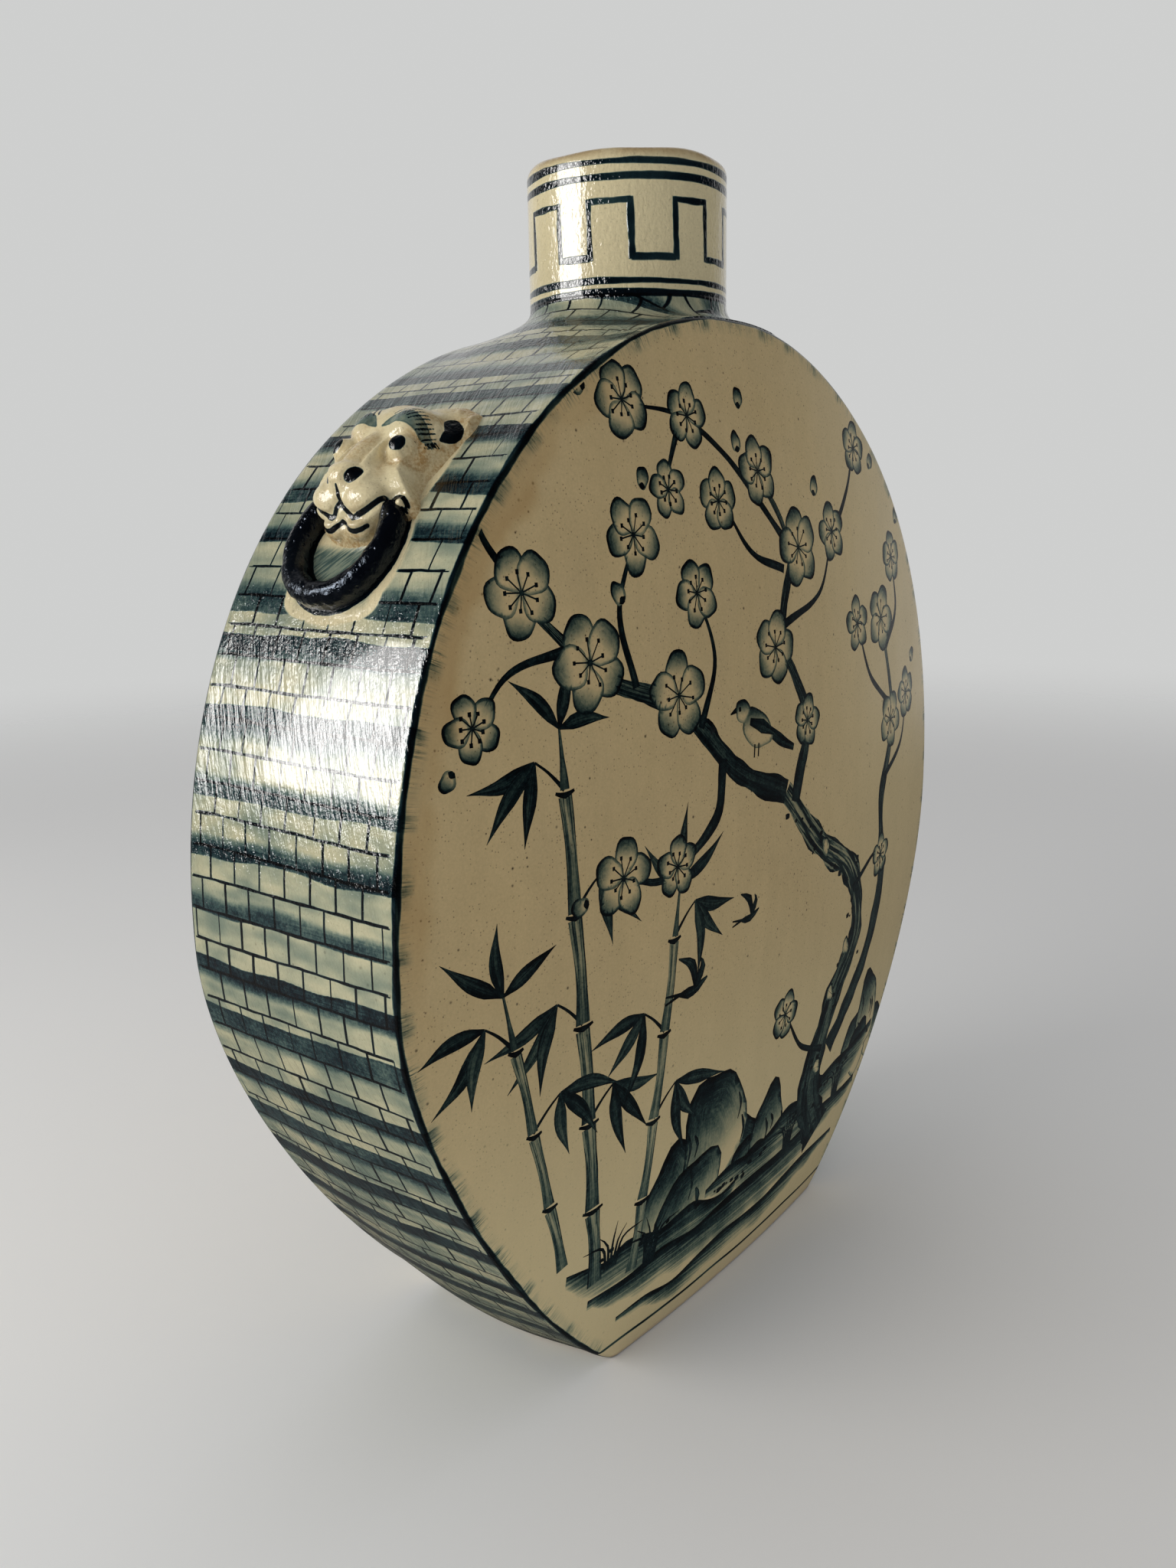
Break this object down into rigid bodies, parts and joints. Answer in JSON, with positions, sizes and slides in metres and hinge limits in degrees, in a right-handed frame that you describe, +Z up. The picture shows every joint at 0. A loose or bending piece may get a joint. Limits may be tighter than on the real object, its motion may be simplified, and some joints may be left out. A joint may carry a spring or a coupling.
{
  "type": "pilgrim flask",
  "caption": "Flattened round ceramic flask with domed faces, a plain side band, a short round neck, and a lion mask with a fixed ring on each side.",
  "frame": {"origin": "middle of the flat foot, where the flask stands", "axes": "+Z up through the neck, +Y from the front face to the back face, X across the faces from one lion mask to the other"},
  "size_m": [0.2818, 0.1024, 0.34],
  "materials": {
    "tan_glaze": "warm tan satin glaze with fine brown specks and brush painting in blue black",
    "cream_glaze": "glossy cream glaze, slightly rippled, with painted brickwork in blue black and blue grey",
    "black_glaze": "thick glossy blue black glaze with small pits",
    "bare_clay": "unglazed fired clay"
  },
  "bodies": {
    "root": {"front_panel": "tan_glaze", "back_panel": "tan_glaze", "left_wall": "cream_glaze", "right_wall": "cream_glaze", "base_slab": "bare_clay", "neck_collar": "cream_glaze", "left_lion_mask": "cream_glaze", "right_lion_mask": "cream_glaze", "left_ring_handle": "black_glaze", "right_ring_handle": "black_glaze"}
  },
  "joints": []
}
